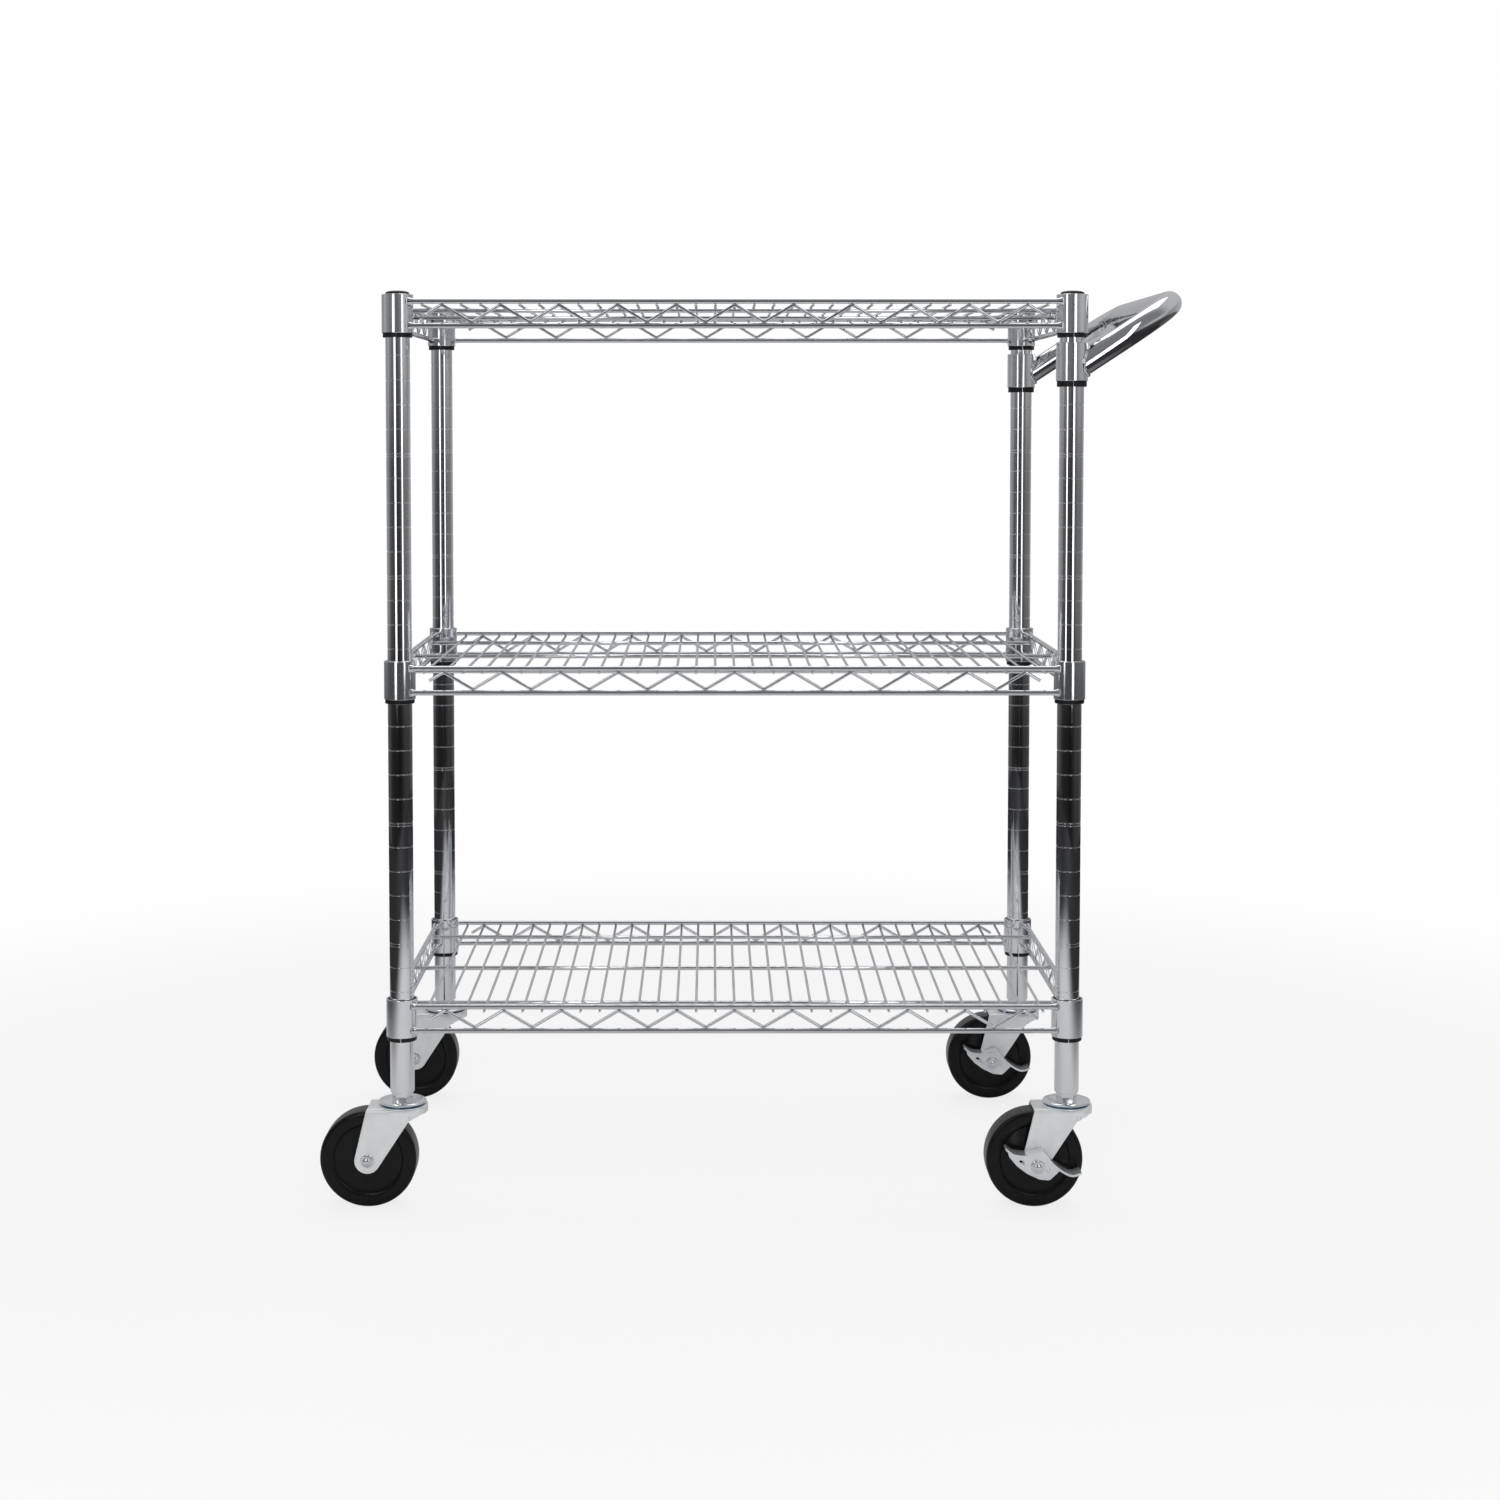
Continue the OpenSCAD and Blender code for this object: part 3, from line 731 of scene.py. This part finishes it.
def bevel(o, width, segments, degrees):
    apply_modifier(o, "BEVEL", width=width, segments=segments, limit_method="ANGLE",
                   angle_limit=math.radians(degrees))


def nose(half, inset):
    """Half an ellipse, seen from above: the rounded front of the sheet."""
    return [
        (NOSE_X + (NOSE_REACH - inset) * math.cos(a), (half + 0.05 * MM - inset) * math.sin(a))
        for a in (math.radians(5 * k) for k in range(-18, 19))
    ]


def channel_section(half, top, foot, fold):
    """End view of the folded sheet in (y, z), its upper corners rounded."""
    corners = [(-half, foot), (half, foot), (half, top), (-half, top)]
    return fillet(corners, [0, 0, fold, fold], 7)


def fork_mesh(c):
    """A folded sheet: a U-shaped channel cut to the outline of its legs."""
    low, high, wheel = caster_sizes(c)
    top, trail, half = high.z, AXES[c].x - wheel.x, (high.y - low.y) / 2
    along_x = Matrix(((0, 0, 1, 0), (1, 0, 0, 0), (0, 1, 0, 0), (0, 0, 0, 1)))
    across_y = Matrix(((1, 0, 0, 0), (0, 0, -1, 0), (0, 1, 0, 0), (0, 0, 0, 1)))
    turn_y = Matrix.Rotation(math.pi / 2, 4, "X")
    sheet, hollow, legs, plan, skirt, bore, eye, details = (Build() for _ in range(8))

    sheet.plate(channel_section(half, top, 0, 4.2 * MM), -60 * MM, 60 * MM, along_x)
    hollow.plate(channel_section(half - SHEET, top - SHEET, -1 * MM, 1.8 * MM), -70 * MM, 70 * MM,
                 along_x)
    legs.plate(leg_outline(trail, wheel.z, top), -half - 5 * MM, half + 5 * MM, across_y)
    back, near, wide = -70 * MM, -1 * MM, half + MM
    outline = [(back, -wide), (near, -wide)] + nose(half, 0) + [(near, wide), (back, wide)]
    plan.plate(outline, 0.0, 0.2)
    skirt.plate(nose(half, 0.1 * MM) + nose(half, 2.4 * MM)[::-1], top - 6.6 * MM, top - 0.6 * MM)
    bore.cylinder(KINGPIN_R, top - 20 * MM, top + 20 * MM, 40)
    axle = Matrix.Translation((-trail, 0, wheel.z)) @ turn_y
    eye.cylinder(5.0 * MM, -50 * MM, 50 * MM, 32, axle)

    channel = temporary(sheet, "channel")
    boolean(channel, "DIFFERENCE", hollow, "hollow")
    boolean(channel, "INTERSECT", legs, "cutter")
    boolean(channel, "INTERSECT", plan, "front")
    boolean(channel, "UNION", skirt, "lip")
    boolean(channel, "DIFFERENCE", bore, "bore")
    boolean(channel, "DIFFERENCE", eye, "eye")
    bevel(channel, 0.45 * MM, 2, 50)
    data = channel.data.copy()
    drop(channel)
    shade(data, 35)

    lip = section(top, (23.5, -0.3), (23.5, 0.3), (23.8, 0.6), (24.3, 0.7), (24.8, 0.45),
                  (25.1, 0.05), (25.2, -0.3))
    details.lathe(lip, 72)
    dimple = section(0, (0, 1.1), (1.2, 0.95), (2.1, 0.5), (2.6, -0.2), (0, -0.2))
    for s in (-1, 1):
        at = Matrix.Translation((10.4 * MM, s * half, top - 9.6 * MM))
        details.lathe(dimple, 20, at @ Matrix.Rotation(-s * math.pi / 2, 4, "X"))
    return joined(data, details, "fork")


def joined(data, build, name):
    bm = bmesh.new()
    bm.from_mesh(data)
    bm.from_mesh(build.mesh(name + "_extra", 40))
    out = bpy.data.meshes.new(name)
    bm.to_mesh(out)
    bm.free()
    return out


def wheel_profile():
    """Half section of the wheel in (r, y): rounded tread, dished face with a raised ring."""
    shoulder = 4.6 * MM

    def side(s):
        face = section(WHEEL_HALF, (8.05, 1.15), (12.6, 1.15), (13.6, 0.7), (14.2, -0.6),
                       (15.4, -2.9), (17.5, -3.5), (24, -3.6), (33.0, -3.2), (35.6, -2.6),
                       (36.8, -1.2), (38.0, -0.5), (40.5, -0.15), (43.5, 0))
        face += arc(WHEEL_R - shoulder, WHEEL_HALF - shoulder, shoulder, 90, 0, 9)
        return [(r, s * y) for r, y in face]

    return side(1) + [(WHEEL_R, 0.0)] + side(-1)[::-1]


def dome_nut(b, place, z):
    """Flange, hexagon and dome, along the local +Z from z."""
    b.lathe(section(z, (0, 0), (7, 0), (7, 0.9), (6.4, 1.4), (0, 1.4)), 36, place)
    b.plate(hexagon(10.6 * MM, 0.7 * MM), z + 1.2 * MM, z + 3.6 * MM, place)
    dome = section(z, (0, 5.8), (2.0, 5.5), (3.6, 4.8), (4.6, 3.9), (4.9, 3.2), (0, 3.2))
    b.lathe(dome, 32, place)


def axle_bolt(c, half, place):
    """Hexagon head behind the fork and a dome nut in front, outside the brake lever if any."""
    bolt = Build()
    face = half
    if c in BRAKED:
        bolt.cylinder(7.5 * MM, half, half + LEVER_IN - LEVER_PLAY, 36, place)
        face = half + LEVER_OUT + LEVER_PLAY
    bolt.cylinder(4.99 * MM, -half - 3 * MM, face, 32, place)
    dome_nut(bolt, place, face)
    bolt.plate(hexagon(13.8 * MM, 0.8 * MM), -half - 5 * MM, -half, place)
    return bolt.mesh("axle_bolt_" + c, 35)


def bearing_ring(c):
    low, high = (end.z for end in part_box("bearing_" + c))
    ring = Build()
    profile = section(low, (9.5, 0), (21.9, 0), (22.8, 0.4)) + [(23.2 * MM, (low + high) / 2)]
    profile += section(high, (22.8, -0.4), (21.9, 0), (9.5, 0))
    ring.lathe(profile, 64, at_post(c))
    return ring.mesh("race_ring_" + c, 40)


def make_casters():
    turn = Matrix.Rotation(math.pi / 2, 4, "X")
    fork = fork_mesh("fl")
    tyre, sleeve = Build(), Build()
    tyre.lathe(wheel_profile(), 96, turn)
    wheel = tyre.mesh("wheel", 30)
    bore, edge = 5.05 * MM, 0.4 * MM
    profile = [(bore, -BUSH_HALF), (BUSH_R - edge, -BUSH_HALF), (BUSH_R, edge - BUSH_HALF),
               (BUSH_R, BUSH_HALF - edge), (BUSH_R - edge, BUSH_HALF), (bore, BUSH_HALF)]
    sleeve.lathe(profile, 40, turn)
    bush = sleeve.mesh("bush", 35)
    for c in CORNERS:
        low, high, hub = caster_sizes(c)
        at_hub = Matrix.Translation(hub)
        swivel, roller = "swivel_" + c, "roller_" + c
        piece("fork_sheet_" + c, fork, swivel, "zinc", ["fork_" + c], at_post(c))
        piece("tyre_" + c, wheel, roller, "wheel_rubber", ["wheel_" + c], at_hub)
        piece("hub_" + c, bush, roller, "zinc", ["bush_" + c], at_hub)
        # The race ring's dark colour is painted shade of the gap between the races, over the
        # steel's own blue tint
        piece("race_ring_" + c, bearing_ring(c), swivel, "dark_steel", ["bearing_" + c])
        bolt = axle_bolt(c, (high.y - low.y) / 2, at_hub @ turn)
        piece("axle_bolt_" + c, bolt, swivel, "zinc", ["axle_" + c], look="bright_zinc")


# ---------------------------------------------------------------- brake levers


def curve_through(points, steps):
    """A smooth curve through points of (x, y), with steps stretches between each two."""
    out = []
    for i in range(len(points) - 1):
        p0, p1 = points[max(i - 1, 0)], points[i]
        p2, p3 = points[i + 1], points[min(i + 2, len(points) - 1)]
        for k in range(steps):
            t = k / steps
            out.append(tuple(
                0.5 * (2 * b + (c - a) * t + (2 * a - 5 * b + 4 * c - d) * t ** 2
                       + (3 * b - a - 3 * c + d) * t ** 3)
                for a, b, c, d in zip(p0, p1, p2, p3)))
    out.append(points[-1])
    return out


def below(line, depth):
    """The line moved down square to itself."""
    out = []
    for i, p in enumerate(line):
        a, b = line[max(i - 1, 0)], line[min(i + 1, len(line) - 1)]
        dx, dy = b[0] - a[0], b[1] - a[1]
        n = math.hypot(dx, dy)
        out.append((p[0] + depth * dy / n, p[1] - depth * dx / n))
    return out


def to_metres(points):
    return [(x * MM, y * MM) for x, y in points]


def brake_mesh():
    """Folded lever, local X along the cart's X, local Y up, local Z outwards from the fork's leg.
    Its outlines are in millimetres about the axle."""
    tread = curve_through([(-32, 18.6), (-24, 13), (-10.7, 11.5), (-3, 13), (4.9, 15.5),
                           (9, 12), (15.2, 4.8), (24, -2.8), (35.6, -8.6), (45.5, -5.9)], 6)
    band = tread + below(tread, 2.2)[::-1]
    edge = [p for p in tread if p[0] <= 24.0]
    corners = [(22.5, -4.6), (12.5, -14.4), (1.8, -13.4), (-10.7, -7.6), (-21.4, 0.3),
               (-29.8, 10.2)]
    lower = fillet([edge[-1]] + corners + [edge[0]], [0, 2, 5, 8, 12, 10, 3, 0], 5)
    lower = without(lower, (edge[0], edge[-1]), 0.01)
    pedal, cheek, holes, details = (Build() for _ in range(4))
    pedal.plate(to_metres(band), 0.6 * MM, LEVER_OUT)
    cheek.plate(to_metres(edge + lower), LEVER_IN, LEVER_OUT)
    cut_low, cut_high = 15 * MM, 25 * MM
    holes.cylinder(5.06 * MM, cut_low, cut_high, 32)
    slot = fillet([(-2.9, -1.3), (2.9, -1.3), (2.9, 1.3), (-2.9, 1.3)], 1.25, 4)
    at_slot = Matrix.Translation((-16.5 * MM, 5.2 * MM, 0))
    at_slot = at_slot @ Matrix.Rotation(math.radians(-15), 4, "Z")
    holes.plate(to_metres(slot), cut_low, cut_high, at_slot)

    lever = temporary(pedal, "pedal")
    boolean(lever, "UNION", cheek, "cheek")
    boolean(lever, "DIFFERENCE", holes, "holes")
    bevel(lever, 0.7 * MM, 3, 60)
    data = lever.data.copy()
    drop(lever)
    shade(data, 38)
    details.lathe(section(0, (0, 0.9), (1.2, 0.8), (2.0, 0.4), (2.5, -0.2), (0, -0.2)), 20,
                  Matrix.Translation((11 * MM, -4 * MM, LEVER_OUT)))
    return joined(data, details, "lever")


def make_brakes():
    lever = brake_mesh()
    for c in BRAKED:
        low, high, hub = caster_sizes(c)
        place = Matrix.Translation((hub.x, low.y, hub.z)) @ Matrix.Rotation(math.pi / 2, 4, "X")
        piece("brake_lever_" + c, lever, "lever_" + c, "zinc", ["brake_" + c], place,
              look="lever_zinc")


make_posts()
make_caps()
make_collars()
for shelf_name in SHELVES:
    make_shelf(shelf_name)
make_handle()
make_stems()
make_casters()
make_brakes()

# Hidden in the posts: the frame's own solids serve, in their materials
for cad_name, slot_name in (("post_couplers", "plain_steel"), ("post_inserts", "zinc")):
    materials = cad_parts[cad_name].data.materials
    materials.clear()
    materials.append(MAT[slot_name])


# ---------------------------------------------------------------- stage, light, camera


def smooth_step(tree, source, low, high, to_low=0.0, to_high=1.0):
    n = tree.nodes.new("ShaderNodeMapRange")
    n.interpolation_type = "SMOOTHSTEP"
    n.inputs["From Min"].default_value = low
    n.inputs["From Max"].default_value = high
    n.inputs["To Min"].default_value = to_low
    n.inputs["To Max"].default_value = to_high
    tree.links.new(source, n.inputs["Value"])
    return n.outputs["Result"]


def blend_shaders(tree, fac, first, second):
    n = tree.nodes.new("ShaderNodeMixShader")
    if isinstance(fac, float):
        n.inputs["Fac"].default_value = fac
    else:
        tree.links.new(fac, n.inputs["Fac"])
    tree.links.new(first, n.inputs[1])
    tree.links.new(second, n.inputs[2])
    return n.outputs["Shader"]


def is_camera_ray(tree):
    return tree.nodes.new("ShaderNodeLightPath").outputs["Is Camera Ray"]


def distance_out(tree, stretch):
    """Distance from the middle of the floor, stretched along each axis."""
    coord = tree.nodes.new("ShaderNodeTexCoord")
    scaled = tree.nodes.new("ShaderNodeVectorMath")
    scaled.operation = "MULTIPLY"
    scaled.inputs[1].default_value = stretch
    tree.links.new(coord.outputs["Object"], scaled.inputs[0])
    length = tree.nodes.new("ShaderNodeVectorMath")
    length.operation = "LENGTH"
    tree.links.new(scaled.outputs["Vector"], length.inputs[0])
    return length.outputs["Value"]


def diffuse(tree, colour):
    n = tree.nodes.new("ShaderNodeBsdfDiffuse")
    n.inputs["Color"].default_value = (*colour, 1)
    return n.outputs["BSDF"]


def make_stage():
    """A round white floor. Straight on, it fades into the white backdrop. What it throws onto the
    chrome is greyer, and dark away from the cart, as in a studio that is lit only in the middle."""
    b = Build()
    b.cylinder(FLOOR_R, -20 * MM, 0.0, 96)
    data = b.mesh("floor", 30)
    m, t, s = new_material("floor", (0.9, 0.9, 0.905), 0.0, 0.6)
    cloud = object_noise(t, scale=3.0, detail=3.0)
    t.links.new(ramp(t, cloud, (0.885, 0.885, 0.89), (0.91, 0.91, 0.915)), s.inputs["Base Color"])
    white = t.nodes.new("ShaderNodeEmission").outputs["Emission"]
    lifted = blend_shaders(t, 0.8, s.outputs["BSDF"], white)
    far = smooth_step(t, distance_out(t, (1.0, 1.0, 1.0)), 0.75, 2.0)
    seen = blend_shaders(t, far, lifted, white)
    edge = smooth_step(t, distance_out(t, (1.4, 0.95, 1.0)), 1.1, 1.9)
    lit, dark = diffuse(t, (0.76, 0.76, 0.765)), diffuse(t, (0.05, 0.05, 0.052))
    thrown = blend_shaders(t, edge, lit, dark)
    out = blend_shaders(t, is_camera_ray(t), thrown, seen)
    t.links.new(out, t.nodes["Material Output"].inputs["Surface"])
    data.materials.append(m)
    o = bpy.data.objects.new("floor", data)
    bpy.context.scene.collection.objects.link(o)


# Brightness of the walls by degrees around the cart: 0 is the camera's side, 90 is +X
WALLS = ((-180, 0.42), (-150, 0.4), (-125, 0.3), (-95, 0.22), (-82, 0.1), (-50, 0.055), (-18, 0.05),
         (0, 0.03), (18, 0.045), (55, 0.15), (100, 0.17), (120, 0.3), (145, 0.42), (180, 0.42))


def math_node(tree, operation, *sources):
    """A maths node fed by outputs of other nodes or by numbers."""
    n = tree.nodes.new("ShaderNodeMath")
    n.operation = operation
    for socket, source in zip(n.inputs, sources):
        if isinstance(source, float):
            socket.default_value = source
        else:
            tree.links.new(source, socket)
    return n.outputs["Value"]


def wall_colour(tree, x, y):
    """Colour of the walls in the direction (x, y)."""
    around = math_node(tree, "ARCTAN2", x, math_node(tree, "MULTIPLY", y, -1.0))
    turn = tree.nodes.new("ShaderNodeMapRange")
    turn.inputs["From Min"].default_value = -math.pi
    turn.inputs["From Max"].default_value = math.pi
    tree.links.new(around, turn.inputs["Value"])
    walls = tree.nodes.new("ShaderNodeValToRGB")
    stops = walls.color_ramp.elements
    while len(stops) < len(WALLS):
        stops.new(0.5)
    for stop, (degrees, value) in zip(stops, WALLS):
        stop.position = (degrees + 180) / 360
        stop.color = (value, value, value * 1.02, 1)
    tree.links.new(turn.outputs["Result"], walls.inputs["Fac"])
    return walls.outputs["Color"]


def background(tree, colour=None, strength=None):
    """White at strength 1, unless colour or strength is given as a node's output."""
    n = tree.nodes.new("ShaderNodeBackground")
    n.inputs["Color"].default_value = (1, 1, 1, 1)
    if colour:
        tree.links.new(colour, n.inputs["Color"])
    if strength:
        tree.links.new(strength, n.inputs["Strength"])
    return n.outputs["Background"]


def make_world():
    """A studio, as the chrome sees it: bright behind, grey to the sides, dark in front and low
    down, under a ceiling that is darker in front. The camera sees plain white."""
    w = bpy.data.worlds.new("studio")
    bpy.context.scene.world = w
    w.use_nodes = True
    t = w.node_tree
    coord = t.nodes.new("ShaderNodeTexCoord")
    split = t.nodes.new("ShaderNodeSeparateXYZ")
    t.links.new(coord.outputs["Generated"], split.inputs["Vector"])
    x, y, z = split.outputs
    foot = smooth_step(t, z, -0.125, -0.06, 0.25, 1.0)
    upper_front = math_node(t, "MULTIPLY_ADD", smooth_step(t, z, -0.03, 0.05),
                            smooth_step(t, y, -0.3, 0.5, 2.0, 0.0), 1.0)
    room = background(t, wall_colour(t, x, y), math_node(t, "MULTIPLY", foot, upper_front))
    ceiling = background(t, strength=smooth_step(t, y, -0.35, 0.25, 0.2, 0.5))
    around = blend_shaders(t, smooth_step(t, z, 0.08, 0.36), room, ceiling)
    out = blend_shaders(t, is_camera_ray(t), around, background(t))
    t.links.new(out, t.nodes["World Output"].inputs["Surface"])


def area_light(name, size, power, at, target, mirrored=True):
    data = bpy.data.lights.new(name, "AREA")
    data.shape = "RECTANGLE"
    data.size, data.size_y = size
    data.energy = power
    o = bpy.data.objects.new(name, data)
    o.location = at
    o.rotation_euler = (Vector(target) - Vector(at)).to_track_quat("-Z", "Y").to_euler()
    o.visible_camera = False
    o.visible_glossy = mirrored
    bpy.context.scene.collection.objects.link(o)


def make_lights():
    strip = (0.32, 1.66)
    area_light("strip_left", strip, 3.1, (-0.78, -1.25, 1.225), (-0.2, 0.0, 1.05))
    area_light("strip_right", strip, 3.1, (0.66, -1.28, 1.225), (0.1, 0.0, 1.05))
    area_light("overhead", (2.4, 1.6), 20.0, (0.0, 0.75, 2.9), (0.0, 0.1, 0.0))
    area_light("front_fill", (2.0, 2.0), 42.0, (0.0, -3.4, 1.3), (0.0, 0.0, 0.4), mirrored=False)


def make_camera():
    data = bpy.data.cameras.new("camera")
    data.lens, data.sensor_width = 59.26, 36.0
    data.shift_x, data.shift_y = 0.0262, -0.1285
    data.clip_start, data.clip_end = 0.05, 60.0
    o = bpy.data.objects.new("camera", data)
    o.location = (-0.0251, -2.7806, 0.8193)
    tilt_down = 3.03
    o.rotation_euler = (math.radians(90 - tilt_down), 0, 0)
    bpy.context.scene.collection.objects.link(o)
    bpy.context.scene.camera = o


make_stage()
make_world()
make_lights()
make_camera()
bpy.context.scene.view_settings.view_transform = "Standard"
